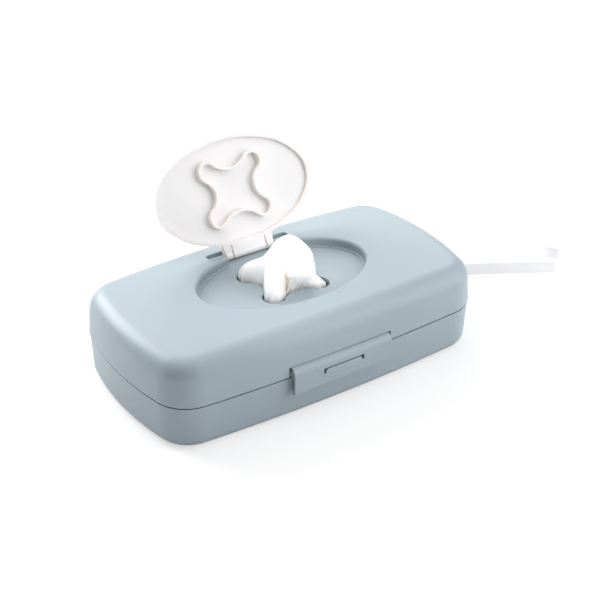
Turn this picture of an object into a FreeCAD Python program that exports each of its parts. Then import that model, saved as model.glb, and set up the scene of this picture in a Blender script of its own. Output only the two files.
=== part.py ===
import FreeCAD, Part

import math
import os

import Sketcher

# Wipes box with a hinged cover, a flip lid over a star-shaped slot, a front latch and a wrist strap.
# Units are millimetres and degrees. X runs along the box, -Y is the latch side, +Z is up.
# The origin is the centre of the base, on the surface that the box stands on.

DRIVING_SIZES = [
    ("case_length", 200.0, "overall length along X, without the strap"),
    ("case_width", 108.1, "overall width along Y, without the hinge"),
    ("case_height", 51.1, "height at the middle of the crowned top"),
    ("seam_height", 25.0, "height of the parting line"),
    ("long_side_sagitta", 4.73, "how far the long sides bow out at their middle"),
    ("end_sagitta", 8.93, "how far the ends bow out at their middle"),
    ("corner_radius", 20.1, "plan radius of the four corners"),
    ("crown_drop", 1.735, "how far the top falls towards each side and end"),
    ("top_draft", 4.3, "lean of the cover's walls"),
    ("bottom_draft", 2.4, "lean of the tray's walls"),
    ("top_edge_radius", 10.6, "rounding of the cover's top edge"),
    ("seam_edge_radius", 0.9, "rounding of the cover's lower edge"),
    ("bottom_edge_radius", 5.8, "rounding of the tray's lower edge"),
    ("wall", 2.0, "wall of the tray"),
    ("floor_thickness", 2.2, "thickness of the tray's floor"),
    ("seam_step", 0.5, "how far the cover stands proud of the tray"),
    ("seam_gap", 0.5, "open line between cover and tray"),
    ("lip_thickness", 0.9, "thickness of the tray's inner lip"),
    ("lip_height", 2.8, "height of the tray's inner lip above its rim"),
    ("lip_clearance", 0.25, "gap round the lip"),
    ("overrun", 2.0, "how far a cutting tool passes the face that it cuts"),
    ("well_length", 98.8, "long axis of the oval well"),
    ("well_width", 60.4, "short axis of the oval well"),
    ("well_depth", 5.6, "depth of the well's floor below the crown's middle"),
    ("well_floor_thickness", 2.0, "thickness of the well's floor and wall"),
    ("well_rim_radius", 1.4, "rounding of the well's rim"),
    ("ledge_width", 1.8, "width of the ledge round the well's floor"),
    ("ledge_height", 0.6, "height of that ledge"),
    ("lobe_across", 13.8, "X place of the centres of the slot's lobes"),
    ("lobe_along", 12.5, "Y place of the centres of the slot's lobes"),
    ("lobe_radius", 6.2, "radius of the slot's lobes"),
    ("waist_across", 13.2, "half the slot's width at its waist along X"),
    ("waist_along", 12.8, "half the slot's width at its waist along Y"),
    ("lid_length", 96.4, "long axis of the oval lid"),
    ("lid_width", 58.2, "short axis of the oval lid"),
    ("lid_thickness", 2.2, "thickness of the lid's plate"),
    ("lid_sink", 0.4, "how far the closed plate reaches below its hinge axis"),
    ("lid_edge_radius", 0.7, "rounding of the lid's outer edge"),
    ("lid_lip_width", 1.8, "width of the lip round the lid's underside"),
    ("lid_lip_height", 1.6, "height of that lip"),
    ("lid_hinge_offset", 3.3, "how far the lid's hinge axis lies behind the well"),
    ("lid_hinge_drop", 2.7, "depth of the lid's hinge axis below the crown's middle"),
    ("lid_open_angle", 115.8, "how far the lid stands open at rest"),
    ("rod_radius", 1.2, "radius of the lid's hinge rod"),
    ("rod_seat", 1.8, "how deep the rod's ends sit in the pocket's walls"),
    ("running_clearance", 0.07, "radial clearance of every running pin"),
    ("barrel_radius", 2.3, "radius of the lid's barrel"),
    ("tongue_half_length", 15.0, "half the length of the lid's barrel"),
    ("tongue_flare", 0.6, "how much wider the tongue is at the lid, each side"),
    ("tongue_overlap", 2.6, "how far the tongue runs into the lid"),
    ("tongue_slit_place", 10.6, "X place of the two slits in the tongue"),
    ("tongue_slit_width", 1.0, "width of those slits"),
    ("pocket_half_length", 25.8, "half the length of the hinge pocket"),
    ("pocket_front_offset", -0.5, "how far the hinge pocket's front wall lies behind the well's rim"),
    ("pocket_width", 7.4, "width of the hinge pocket along Y"),
    ("pocket_end_radius", 2.36, "rounding of the pocket's corners"),
    ("passage_gap", 0.6, "gap between the tongue and the passage's sides"),
    ("seal_gap", 0.35, "gap between the seal and the slot's edge"),
    ("seal_wall", 1.4, "wall of the star-shaped seal"),
    ("seal_height", 3.4, "how far the seal stands out of the lid"),
    ("latch_half_length", 30.0, "half the length of the latch"),
    ("latch_proud", 2.35, "how far the latch's face stands out of the box's side"),
    ("latch_plate", 1.6, "thickness of the latch's plate"),
    ("latch_drop", 9.5, "how far the latch reaches below the parting line"),
    ("latch_top_radius", 4.2, "rounding of the latch's top"),
    ("latch_axis_depth", 4.2, "how far the latch's axis lies behind its face"),
    ("latch_axis_rise", 1.4, "height of the latch's axis above the parting line"),
    ("latch_knuckle_radius", 1.6, "radius of the latch's knuckle"),
    ("latch_pin_radius", 0.9, "radius of the latch's pin"),
    ("latch_pin_seat", 1.6, "how deep the pin's ends sit in the notch's walls"),
    ("latch_grip_radius", 0.8, "rounding of the latch's lower edge"),
    ("notch_gap", 1.5, "gap between the latch's ends and the notch"),
    ("notch_depth", 6.35, "depth of the latch's notch in the box's side"),
    ("notch_rise", 5.8, "height of the notch's top above the parting line"),
    ("notch_wall", 1.6, "wall behind and beside the notch"),
    ("window_half_length", 12.5, "half the length of the latch's window"),
    ("window_drop", 4.7, "how far the window's lower edge lies below the parting line"),
    ("window_height", 4.8, "height of the window"),
    ("catch_end_gap", 1.2, "gap between the catch and the window's ends"),
    ("catch_drop", 4.3, "how far the catch's lower edge lies below the parting line"),
    ("catch_height", 3.4, "height of the catch"),
    ("catch_reach", 0.9, "how far the catch stands out of the tray"),
    ("hinge_place", 45.0, "X place of the two rear hinges"),
    ("hinge_offset", 2.55, "how far the rear axis lies behind the cover"),
    ("hinge_knuckle_radius", 2.6, "radius of the rear knuckles"),
    ("hinge_knuckle_length", 6.0, "length of the cover's knuckle"),
    ("hinge_ear_length", 4.6, "length of each of the tray's knuckles"),
    ("hinge_side_gap", 0.35, "gap between knuckles along the axis"),
    ("hinge_web_height", 5.0, "height of the web that carries a knuckle"),
    ("hinge_web_reach", 5.2, "how far a web reaches from its axis into the wall"),
    ("hinge_pin_radius", 1.0, "radius of the rear pins"),
    ("strap_axis_reach", 4.6, "how far the strap's axis lies beyond the box's end"),
    ("strap_axis_y", 5.0, "Y place of the strap's axis"),
    ("strap_drop", 7.6, "how far the strap's middle lies below the parting line"),
    ("strap_width", 7.6, "width of the strap's band"),
    ("strap_thickness", 1.6, "thickness of the strap's band"),
    ("strap_length", 73.3, "from the strap's axis to the centre of its end loop"),
    ("strap_end_radius", 9.5, "outer radius of the strap's end loop"),
    ("strap_eye_radius", 3.0, "outer radius of the strap's eye"),
    ("strap_fork", 7.5, "from the strap's axis to where its two strands part"),
    ("strap_fork_radius", 0.9, "radius between the strands where they part"),
    ("strap_turn_angle", -25.0, "turn of the strap at rest about its axis"),
    ("strap_pin_radius", 1.25, "radius of the strap's pin"),
    ("lug_thickness", 2.2, "thickness of the strap's lugs"),
    ("lug_half_width", 4.0, "half the width of the strap's lugs"),
    ("lug_root", 3.4, "how far the lugs reach into the box's end"),
    ("strap_gap", 0.35, "gap between the strap and its lugs"),
    ("stack_end_room", 12.0, "room at each end of the folded wipes, to the box's outline"),
    ("stack_side_room", 10.05, "room at each side of the folded wipes, to the box's outline"),
    ("stack_headroom", 8.0, "room between the folded wipes and the well"),
    ("stack_corner", 9.0, "corner radius of the folded wipes"),
    ("stack_edge", 3.0, "rounding of the stack's top edge"),
    ("stack_rest_gap", 0.3, "how far the stack lies above the tray's floor"),
    ("tuft_rise", 27.5, "how far the pulled-up wipe's tip rises above the well's floor"),
    ("tuft_start_gap", 0.3, "how far the pulled-up wipe starts above the stack"),
    ("tuft_slot_gap", 0.3, "gap between the pulled-up wipe and the slot"),
]


DEGREES_PER_RADIAN = 180 / math.pi
SAME_PLACE = 1e-4  # two places this near each other are the same

# What counts as a nearly level edge, as an upright one, and how far the crown's cut swings past
# the box's sides, as shares.
LEVEL_SLOPE_SHARE = 0.45
UPRIGHT_SHARE = 0.9
CROWN_SWING_SHARE = 1.33


class Size:
    """A length with the spreadsheet formula that gives it, so that both stay the same."""

    def __init__(self, number, formula):
        self.number = float(number)
        self.formula = formula

    def join(self, other, sign, number):
        return Size(number, f"({self.formula} {sign} {sized(other).formula})")

    def __add__(self, other):
        return self.join(other, "+", self.number + sized(other).number)

    def __sub__(self, other):
        return self.join(other, "-", self.number - sized(other).number)

    def __mul__(self, other):
        return self.join(other, "*", self.number * sized(other).number)

    def __truediv__(self, other):
        return self.join(other, "/", self.number / sized(other).number)

    def __neg__(self):
        return Size(-self.number, f"(0 - {self.formula})")

    def __radd__(self, other):
        return sized(other) + self

    def __rsub__(self, other):
        return sized(other) - self

    def __rmul__(self, other):
        return sized(other) * self


def sized(value):
    return value if isinstance(value, Size) else Size(value, repr(value))


doc = FreeCAD.newDocument("WipesBox")
sheet = doc.addObject("Spreadsheet::Sheet", "Sizes")
size = {}
for row, (alias, number, note) in enumerate(DRIVING_SIZES, start=1):
    sheet.set(f"A{row}", alias)
    sheet.set(f"B{row}", str(number))
    sheet.set(f"C{row}", note)
    sheet.setAlias(f"B{row}", alias)
doc.recompute()
for alias, number, note in DRIVING_SIZES:
    size[alias] = Size(sheet.get(alias), f"Sizes.{alias}")
zero = Size(0, "0")


def bind(thing, **sizes):
    """Ties each named property of a feature to the sheet."""
    for name, value in sizes.items():
        thing.setExpression(name, sized(value).formula)


def place(thing, x=zero, y=zero, z=zero, axis=None, angle=None):
    """Gives a feature its Placement, tied to the sheet."""
    if axis is not None:
        thing.Placement = FreeCAD.Placement(
            FreeCAD.Vector(0, 0, 0), FreeCAD.Rotation(FreeCAD.Vector(*axis), sized(angle).number)
        )
        thing.setExpression("Placement.Rotation.Angle", sized(angle).formula)
    for name, value in (("x", x), ("y", y), ("z", z)):
        thing.setExpression(f"Placement.Base.{name}", sized(value).formula)
    return thing


def new_body(name):
    body = doc.addObject("PartDesign::Body", name)
    body.Label = name
    return body


def origin_plane(body, role):
    return next(plane for plane in body.Origin.OriginFeatures if plane.Role == role)


def new_sketch(body, name, offset=zero, role="XY_Plane"):
    """A sketch on one of the body's own origin planes, moved out along its normal."""
    sketch = body.newObject("Sketcher::SketchObject", name)
    sketch.AttachmentSupport = [(origin_plane(body, role), "")]
    sketch.MapMode = "FlatFace"
    sketch.setExpression("AttachmentOffset.Base.z", sized(offset).formula)
    return sketch


def hold(sketch, kind, *parts):
    """Adds a constraint whose last part is a size, and ties that size to the sheet."""
    *where, value = parts
    index = sketch.addConstraint(Sketcher.Constraint(kind, *where, sized(value).number))
    sketch.setExpression(f"Constraints[{index}]", sized(value).formula)


def hold_point(sketch, geometry, end, x, y):
    hold(sketch, "DistanceX", -1, 1, geometry, end, x)
    hold(sketch, "DistanceY", -1, 1, geometry, end, y)


def polygon(sketch, corners):
    """A closed outline of straight lines through points given as pairs of sizes."""
    points = [FreeCAD.Vector(sized(x).number, sized(y).number, 0) for x, y in corners]
    first = sketch.GeometryCount
    count = len(points)
    for i in range(count):
        sketch.addGeometry(Part.LineSegment(points[i], points[(i + 1) % count]), False)
    for i in range(count):
        sketch.addConstraint(
            Sketcher.Constraint("Coincident", first + i, 2, first + (i + 1) % count, 1)
        )
    for i, (x, y) in enumerate(corners):
        hold_point(sketch, first + i, 1, x, y)


def circle(sketch, x, y, radius):
    middle = FreeCAD.Vector(sized(x).number, sized(y).number, 0)
    index = sketch.addGeometry(
        Part.Circle(middle, FreeCAD.Vector(0, 0, 1), sized(radius).number), False
    )
    hold_point(sketch, index, 3, x, y)
    hold(sketch, "Radius", index, radius)


def touching_arcs(sketch, arcs):
    """
    A closed outline of arcs that touch each other smoothly.

    Each arc is (centre, radius, start, end, turns_left, fixed): points are pairs of numbers, and
    fixed holds the sizes that are tied to the sheet, x, y and radius, each of them or None.
    """
    first = sketch.GeometryCount
    count = len(arcs)
    for centre, radius, start, end, turns_left, fixed in arcs:
        middle = FreeCAD.Vector(*centre, 0)
        angles = [math.atan2(p[1] - centre[1], p[0] - centre[0]) for p in (start, end)]
        if not turns_left:
            angles.reverse()
        round_shape = Part.Circle(middle, FreeCAD.Vector(0, 0, 1), radius)
        sketch.addGeometry(Part.ArcOfCircle(round_shape, angles[0], angles[1]), False)
    for i in range(count):
        this_end = 2 if arcs[i][4] else 1
        next_start = 1 if arcs[(i + 1) % count][4] else 2
        sketch.addConstraint(
            Sketcher.Constraint(
                "Tangent", first + i, this_end, first + (i + 1) % count, next_start
            )
        )
    for i, arc in enumerate(arcs):
        x, y, radius = arc[5]
        if x is not None:
            hold_point(sketch, first + i, 3, x, y)
        if radius is not None:
            hold(sketch, "Radius", first + i, radius)


def circles_meet(first, first_radius, second, second_radius, side):
    """The point where two circles cross, on the given side of the line between their centres."""
    across = (second[0] - first[0], second[1] - first[1])
    apart = math.hypot(*across)
    along = (first_radius**2 - second_radius**2 + apart**2) / (2 * apart)
    away = math.sqrt(first_radius**2 - along**2) * side
    unit = (across[0] / apart, across[1] / apart)
    return (
        first[0] + unit[0] * along - unit[1] * away,
        first[1] + unit[1] * along + unit[0] * away,
    )


def from_centre(centre, through, radius):
    """The point at a radius from a centre, towards another point."""
    reach = math.hypot(through[0] - centre[0], through[1] - centre[1])
    share = radius / reach
    return (
        centre[0] + (through[0] - centre[0]) * share,
        centre[1] + (through[1] - centre[1]) * share,
    )


half_length = size["case_length"] / 2
half_width = size["case_width"] / 2
well_floor = size["case_height"] - size["well_depth"]
cup_bottom = well_floor - size["well_floor_thickness"]
lid_hinge_y = size["well_width"] / 2 + size["lid_hinge_offset"]
lid_hinge_z = size["case_height"] - size["lid_hinge_drop"]
pocket_front = size["well_width"] / 2 + size["pocket_front_offset"]
pocket_back = pocket_front + size["pocket_width"]
tongue_root = lid_hinge_y - size["lid_width"] / 2 + size["tongue_overlap"]
latch_face = half_width + size["latch_proud"]
latch_axis = latch_face - size["latch_axis_depth"]
latch_axis_z = size["seam_height"] + size["latch_axis_rise"]
latch_bottom = size["seam_height"] - size["latch_drop"]
notch_back = half_width - size["notch_depth"]
notch_top = size["seam_height"] + size["notch_rise"]
window_bottom = size["seam_height"] - size["window_drop"]
window_top = window_bottom + size["window_height"]
catch_bottom = size["seam_height"] - size["catch_drop"]
strap_middle = size["seam_height"] - size["strap_drop"]
stack_bottom = size["floor_thickness"] + size["stack_rest_gap"]
stack_top = cup_bottom - size["stack_headroom"]
long_side_radius = (
    half_length * half_length + size["long_side_sagitta"] * size["long_side_sagitta"]
) / (2 * size["long_side_sagitta"])
end_radius = (
    half_width * half_width + size["end_sagitta"] * size["end_sagitta"]
) / (2 * size["end_sagitta"])
cover_wall = size["wall"] + size["seam_step"]
rim_height = size["seam_height"] - size["seam_gap"]
lip_inset = size["seam_step"] + size["wall"] - size["lip_thickness"]
rebate_inset = lip_inset - size["lip_clearance"]
rebate_height = size["lip_height"]


def bowed_outline(sketch, half_x, side_radius, cap_radius, corner, half_y, y, outer_corner):
    """
    A closed outline of two long sides, two end caps and four corners, all of them arcs.

    outer_corner says that the corners are the tightest arcs, as on a box. On an oval the caps are.
    """
    y = sized(y)
    side_centre = side_radius - half_y
    cap_centre = half_x - cap_radius
    front = (0.0, side_centre.number)
    right = (cap_centre.number, 0.0)
    corner_centre = circles_meet(
        front,
        (side_radius - corner).number,
        right,
        (cap_radius - corner).number,
        1 if outer_corner else -1,
    )
    on_side = from_centre(front, corner_centre, side_radius.number)
    if outer_corner:
        on_cap = from_centre(right, corner_centre, cap_radius.number)
    else:
        on_cap = from_centre(corner_centre, right, corner.number)

    def turned(point, x_sign, y_sign):
        return (point[0] * x_sign, point[1] * y_sign + y.number)

    arcs = []
    # The quarters run front right, back right, back left, front left.
    for x_sign, y_sign in [(1, 1), (1, -1), (-1, -1), (-1, 1)]:
        side_first = x_sign * y_sign > 0
        start, end = (on_side, on_cap) if side_first else (on_cap, on_side)
        arcs.append(
            (
                turned(corner_centre, x_sign, y_sign),
                corner.number,
                turned(start, x_sign, y_sign),
                turned(end, x_sign, y_sign),
                True,
                (None, None, corner),
            )
        )
        if side_first:
            arcs.append(
                (
                    turned(right, x_sign, 1),
                    cap_radius.number,
                    turned(on_cap, x_sign, y_sign),
                    turned(on_cap, x_sign, -y_sign),
                    True,
                    (x_sign * cap_centre, y, cap_radius),
                )
            )
        else:
            arcs.append(
                (
                    turned(front, 1, y_sign),
                    side_radius.number,
                    turned(on_side, x_sign, y_sign),
                    turned(on_side, -x_sign, y_sign),
                    True,
                    (zero, y + y_sign * side_centre, side_radius),
                )
            )
    touching_arcs(sketch, arcs)


def case_outline(sketch, inset):
    """The box's outline, four bowed sides with round corners, drawn in by a distance."""
    inset = sized(inset)
    bowed_outline(
        sketch,
        half_length - inset,
        long_side_radius - inset,
        end_radius - inset,
        size["corner_radius"] - inset,
        half_width - inset,
        zero,
        True,
    )


# An oval of eight arcs that follows an ellipse to a thousandth of its length: its radii as
# shares of the ellipse's own radii at its sides, at its ends and between them.
OVAL_SIDE_SHARE = 0.946
OVAL_END_SHARE = 1.074
OVAL_MIDDLE_SHARE = 0.5072


def oval_outline(sketch, length, width, inset=zero, y=zero):
    """An oval with its long axis along X, drawn in by a distance."""
    long_half, short_half = sized(length) / 2, sized(width) / 2
    bowed_outline(
        sketch,
        long_half - inset,
        long_half * long_half / short_half * OVAL_SIDE_SHARE - inset,
        short_half * short_half / long_half * OVAL_END_SHARE - inset,
        (long_half + short_half) * OVAL_MIDDLE_SHARE - inset,
        short_half - inset,
        y,
        False,
    )


def star_outline(sketch, inset, y=zero):
    """The four-lobed outline of the slot, drawn in by a distance."""
    inset = sized(inset)
    y = sized(y)
    lobe = size["lobe_radius"] - inset
    across, along = size["lobe_across"], size["lobe_along"]
    waist_x = size["waist_across"] - inset
    waist_y = size["waist_along"] - inset

    def hollow(lobe_place, other_place, waist):
        depth = lobe_place - waist
        return (other_place * other_place + depth * depth - lobe * lobe) / (2 * (lobe + depth))

    side_hollow = hollow(across, along, waist_x)
    end_hollow = hollow(along, across, waist_y)
    side_centre = waist_x + side_hollow
    end_centre_y = waist_y + end_hollow
    shift = y.number

    def shifted(point):
        return (point[0], point[1] + shift)

    arcs = []
    for x_sign, y_sign in [(1, -1), (1, 1), (-1, 1), (-1, -1)]:
        lobe_centre = (x_sign * across.number, y_sign * along.number)
        beside = (x_sign * side_centre.number, 0.0)
        before = (0.0, y_sign * end_centre_y.number)
        on_side = from_centre(lobe_centre, beside, lobe.number)
        on_end = from_centre(lobe_centre, before, lobe.number)
        leaves_to_side = x_sign * y_sign < 0
        start, end = (on_end, on_side) if leaves_to_side else (on_side, on_end)
        arcs.append(
            (
                shifted(lobe_centre),
                lobe.number,
                shifted(start),
                shifted(end),
                True,
                (x_sign * across, y + y_sign * along, lobe),
            )
        )
        if leaves_to_side:
            arcs.append(
                (
                    shifted(beside),
                    side_hollow.number,
                    shifted(on_side),
                    shifted((on_side[0], -on_side[1])),
                    False,
                    (None, None, side_hollow),
                )
            )
        else:
            arcs.append(
                (
                    shifted(before),
                    end_hollow.number,
                    shifted(on_end),
                    shifted((-on_end[0], on_end[1])),
                    False,
                    (None, None, end_hollow),
                )
            )
    touching_arcs(sketch, arcs)


def pad(body, sketch, length, name, down=False):
    feature = body.newObject("PartDesign::Pad", name)
    feature.Profile = sketch
    feature.Reversed = down
    bind(feature, Length=length)
    doc.recompute()
    return feature


def pocket(body, sketch, length, name, up=False):
    before = body.Shape.Volume
    feature = body.newObject("PartDesign::Pocket", name)
    feature.Profile = sketch
    feature.Reversed = up
    bind(feature, Length=length)
    doc.recompute()
    if not body.Shape.Volume < before:
        raise RuntimeError(f"{name} removed nothing")
    return feature


def fillet(body, name, radius, chosen):
    """Rounds the edges of the body's tip that chosen() picks."""
    base = body.Tip
    names = [f"Edge{i}" for i, edge in enumerate(base.Shape.Edges, start=1) if chosen(edge)]
    if not names:
        raise RuntimeError(f"{name} found no edge")
    feature = body.newObject("PartDesign::Fillet", name)
    feature.Base = (base, names)
    bind(feature, Radius=radius)
    doc.recompute()
    return feature


def lean(body, name, angle, neutral_height):
    """Leans the side walls inwards, away from the level face that keeps its outline."""
    base = body.Tip
    walls = []
    neutral = None
    for i, face in enumerate(base.Shape.Faces, start=1):
        span = face.BoundBox
        if abs(span.ZMax - neutral_height) + abs(span.ZMin - neutral_height) < SAME_PLACE:
            neutral = f"Face{i}"
        elif face.Surface.TypeId == "Part::GeomCylinder":
            walls.append(f"Face{i}")
    before = body.Shape.Volume
    feature = body.newObject("PartDesign::Draft", name)
    feature.Base = (base, walls)
    feature.NeutralPlane = (base, [neutral])
    bind(feature, Angle=angle)
    doc.recompute()
    if body.Shape.Volume > before:
        feature.Reversed = True
        doc.recompute()
    if not body.Shape.Volume < before:
        raise RuntimeError(f"{name} leaned nothing")
    return feature


def level(edge):
    """An edge's height, if it is nearly level, or else nothing."""
    span = edge.BoundBox
    longest = max(span.XLength, span.YLength)
    return span.Center.z if span.ZLength < LEVEL_SLOPE_SHARE * longest else None


def upright(edge, height):
    """Whether an edge runs up most of a height."""
    return edge.BoundBox.ZLength > UPRIGHT_SHARE * height.number


def crown_cut(body, name, top):
    """Cuts the top to a shallow dome whose middle is at the height top."""
    drop = size["crown_drop"]
    along_radius = (half_length * half_length + drop * drop) / (2 * drop)
    across_radius = (half_width * half_width + drop * drop) / (2 * drop)
    reach = half_length + size["overrun"]
    above = top + size["top_edge_radius"]
    sketch = new_sketch(body, name + "_profile", zero, "XZ_Plane")
    centre_z = top - along_radius
    reach_x, radius = reach.number, along_radius.number
    side_z = centre_z.number + math.sqrt(radius**2 - reach_x**2)
    start = math.atan2(side_z - centre_z.number, reach_x)
    round_shape = Part.Circle(
        FreeCAD.Vector(0, centre_z.number, 0), FreeCAD.Vector(0, 0, 1), radius
    )
    corners = [
        FreeCAD.Vector(-reach_x, side_z, 0),
        FreeCAD.Vector(-reach_x, above.number, 0),
        FreeCAD.Vector(reach_x, above.number, 0),
        FreeCAD.Vector(reach_x, side_z, 0),
    ]
    sketch.addGeometry(Part.ArcOfCircle(round_shape, start, math.pi - start), False)
    for i in range(3):
        sketch.addGeometry(Part.LineSegment(corners[i], corners[i + 1]), False)
    axis_z = (top - across_radius).number
    axis = sketch.addGeometry(
        Part.LineSegment(FreeCAD.Vector(-reach_x, axis_z, 0), FreeCAD.Vector(reach_x, axis_z, 0)),
        True,
    )
    for i in range(4):
        sketch.addConstraint(Sketcher.Constraint("Coincident", i, 2, (i + 1) % 4, 1))
    hold_point(sketch, 0, 3, zero, centre_z)
    hold(sketch, "Radius", 0, along_radius)
    hold_point(sketch, 1, 2, -reach, above)
    hold_point(sketch, 2, 2, reach, above)
    sketch.addConstraint(Sketcher.Constraint("Vertical", 1))
    sketch.addConstraint(Sketcher.Constraint("Vertical", 3))
    hold_point(sketch, axis, 1, -reach, top - across_radius)
    hold_point(sketch, axis, 2, reach, top - across_radius)
    doc.recompute()
    before = body.Shape.Volume
    groove = body.newObject("PartDesign::Groove", name)
    groove.Profile = sketch
    groove.ReferenceAxis = (sketch, ["Axis0"])
    groove.Midplane = True
    # The angle that the width spans about the far axis, with some to spare.
    width_angle = size["case_width"] / across_radius * DEGREES_PER_RADIAN
    bind(groove, Angle=width_angle * CROWN_SWING_SHARE)
    doc.recompute()
    if not body.Shape.Volume < before:
        raise RuntimeError(f"{name} removed nothing")
    return groove


def cover_form(name, inset, edge_radius):
    """The cover's outside, or the inside that lies a wall further in."""
    body = new_body(name)
    sketch = new_sketch(body, name + "_outline", size["seam_height"])
    case_outline(sketch, inset)
    pad(body, sketch, size["case_height"] - size["seam_height"], name + "_block")
    lean(body, name + "_walls", size["top_draft"], size["seam_height"].number)
    crown_cut(body, name + "_crown", size["case_height"] - inset)
    top = (size["case_height"] - inset).number
    lowest = top - 3 * size["crown_drop"].number  # the corners, and a third fall to spare
    fillet(
        body,
        name + "_top_edge",
        edge_radius,
        lambda edge: level(edge) is not None and lowest < level(edge) <= top,
    )
    return body


def tray_form(name, inset, depth, edge_radius):
    body = new_body(name)
    sketch = new_sketch(body, name + "_outline", rim_height)
    case_outline(sketch, inset)
    pad(body, sketch, depth, name + "_block", down=True)
    lean(body, name + "_walls", size["bottom_draft"], rim_height.number)
    bottom = (rim_height - depth).number
    fillet(
        body,
        name + "_bottom_edge",
        edge_radius,
        lambda edge: abs(edge.BoundBox.ZMax - bottom) < SAME_PLACE,
    )
    return body


def outline_prism(name, inset, bottom, height):
    body = new_body(name)
    sketch = new_sketch(body, name + "_outline", bottom)
    case_outline(sketch, inset)
    pad(body, sketch, height, name + "_block")
    return body


def box(name, low, high):
    """A block between two corners, each given as three sizes."""
    block = doc.addObject("Part::Box", name)
    low, high = [sized(v) for v in low], [sized(v) for v in high]
    bind(block, Length=high[0] - low[0], Width=high[1] - low[1], Height=high[2] - low[2])
    return place(block, *low)


def rod(name, radius, length, x=zero, y=zero, z=zero, axis=None, angle=None):
    cylinder = doc.addObject("Part::Cylinder", name)
    bind(cylinder, Radius=radius, Height=length)
    return place(cylinder, x, y, z, axis, angle)


def rod_along_x(name, radius, start, end, y, z):
    return rod(name, radius, sized(end) - start, start, y, z, (0, 1, 0), Size(90, "90"))


def fuse(name, shapes):
    joined = doc.addObject("Part::MultiFuse", name)
    joined.Shapes = shapes
    return joined


def cut(name, base, tool):
    result = doc.addObject("Part::Cut", name)
    result.Base = base
    result.Tool = tool
    return result


# Cover: the crowned outside with its oval well
cover_outside = cover_form("cover_outside", zero, size["top_edge_radius"])
well_sketch = new_sketch(
    cover_outside, "well_outline", size["case_height"] + size["overrun"]
)
oval_outline(well_sketch, size["well_length"], size["well_width"])
ledge_top = well_floor + size["ledge_height"]
pocket(
    cover_outside,
    well_sketch,
    size["case_height"] + size["overrun"] - ledge_top,
    "well",
)
well_rim = (size["case_height"] - 2 * size["crown_drop"]).number
fillet(
    cover_outside,
    "well_rim",
    size["well_rim_radius"],
    lambda edge: level(edge) is not None
    and level(edge) > well_rim
    and edge.BoundBox.XLength < size["well_length"].number + size["overrun"].number
    and edge.BoundBox.YLength < size["well_width"].number + size["overrun"].number,
)
well_floor_sketch = new_sketch(
    cover_outside, "well_floor_outline", size["case_height"] + size["overrun"]
)
oval_outline(well_floor_sketch, size["well_length"], size["well_width"], size["ledge_width"])
pocket(
    cover_outside,
    well_floor_sketch,
    size["case_height"] + size["overrun"] - well_floor,
    "well_floor",
)
seam_level = size["seam_height"].number
fillet(
    cover_outside,
    "cover_seam_edge",
    size["seam_edge_radius"],
    lambda edge: abs(edge.BoundBox.ZMax - seam_level) < SAME_PLACE,
)

# Cover: the hollow inside, less the cups that carry the well, the lid's hinge and the latch
cover_hollow = cover_form("cover_hollow", cover_wall, size["top_edge_radius"] - cover_wall)
rebate = outline_prism(
    "rebate",
    rebate_inset,
    size["seam_height"] - size["overrun"],
    size["overrun"] + rebate_height,
)
cup_top = size["case_height"] - cover_wall / 2
well_cup = new_body("well_cup")
well_cup_sketch = new_sketch(well_cup, "well_cup_outline", cup_bottom)
oval_outline(
    well_cup_sketch, size["well_length"], size["well_width"], -size["well_floor_thickness"]
)
pad(well_cup, well_cup_sketch, cup_top - cup_bottom, "well_cup_block")
pocket_wall = size["rod_seat"] + size["well_floor_thickness"] / 2
pocket_cup = box(
    "pocket_cup",
    (
        -size["pocket_half_length"] - pocket_wall,
        pocket_front - size["well_floor_thickness"],
        cup_bottom,
    ),
    (
        size["pocket_half_length"] + pocket_wall,
        pocket_back + size["well_floor_thickness"],
        cup_top,
    ),
)
notch_end = size["latch_half_length"] + size["notch_gap"]
latch_cup = box(
    "latch_cup",
    (
        -notch_end - size["notch_wall"],
        -half_width - size["overrun"],
        size["seam_height"],
    ),
    (
        notch_end + size["notch_wall"],
        -notch_back + size["notch_wall"],
        notch_top + size["notch_wall"],
    ),
)
cover_core = cut(
    "cover_core",
    fuse("cover_core_block", [cover_hollow, rebate]),
    fuse("cover_cups", [well_cup, pocket_cup, latch_cup]),
)

# Cover: slot, hinge pocket with its passage to the well, latch notch and pin holes
slot = new_body("slot")
slot_sketch = new_sketch(slot, "slot_outline", cup_bottom - size["overrun"])
star_outline(slot_sketch, zero)
pad(slot, slot_sketch, size["well_floor_thickness"] + 2 * size["overrun"], "slot_block")

hinge_pocket = new_body("hinge_pocket")
hinge_pocket_sketch = new_sketch(hinge_pocket, "hinge_pocket_outline", well_floor)
polygon(
    hinge_pocket_sketch,
    [
        (-size["pocket_half_length"], pocket_front),
        (size["pocket_half_length"], pocket_front),
        (size["pocket_half_length"], pocket_back),
        (-size["pocket_half_length"], pocket_back),
    ],
)
pocket_depth = size["case_height"] - well_floor
pad(hinge_pocket, hinge_pocket_sketch, pocket_depth, "hinge_pocket_block")
fillet(
    hinge_pocket,
    "hinge_pocket_ends",
    size["pocket_end_radius"],
    lambda edge: upright(edge, pocket_depth),
)
passage = new_body("passage")
passage_sketch = new_sketch(passage, "passage_outline", well_floor)
passage_narrow = size["tongue_half_length"] + size["passage_gap"]
passage_length = tongue_root + size["overrun"]
passage_wide = passage_narrow + size["tongue_flare"] * passage_length / tongue_root
passage_front = lid_hinge_y - passage_length
polygon(
    passage_sketch,
    [
        (-passage_wide, passage_front),
        (passage_wide, passage_front),
        (passage_narrow, lid_hinge_y),
        (-passage_narrow, lid_hinge_y),
    ],
)
pad(passage, passage_sketch, pocket_depth, "passage_block")
rod_end = size["pocket_half_length"] + size["rod_seat"]
rod_seat_hole = rod_along_x(
    "rod_seat_hole",
    size["rod_radius"],
    -rod_end,
    rod_end,
    lid_hinge_y,
    lid_hinge_z,
)
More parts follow.
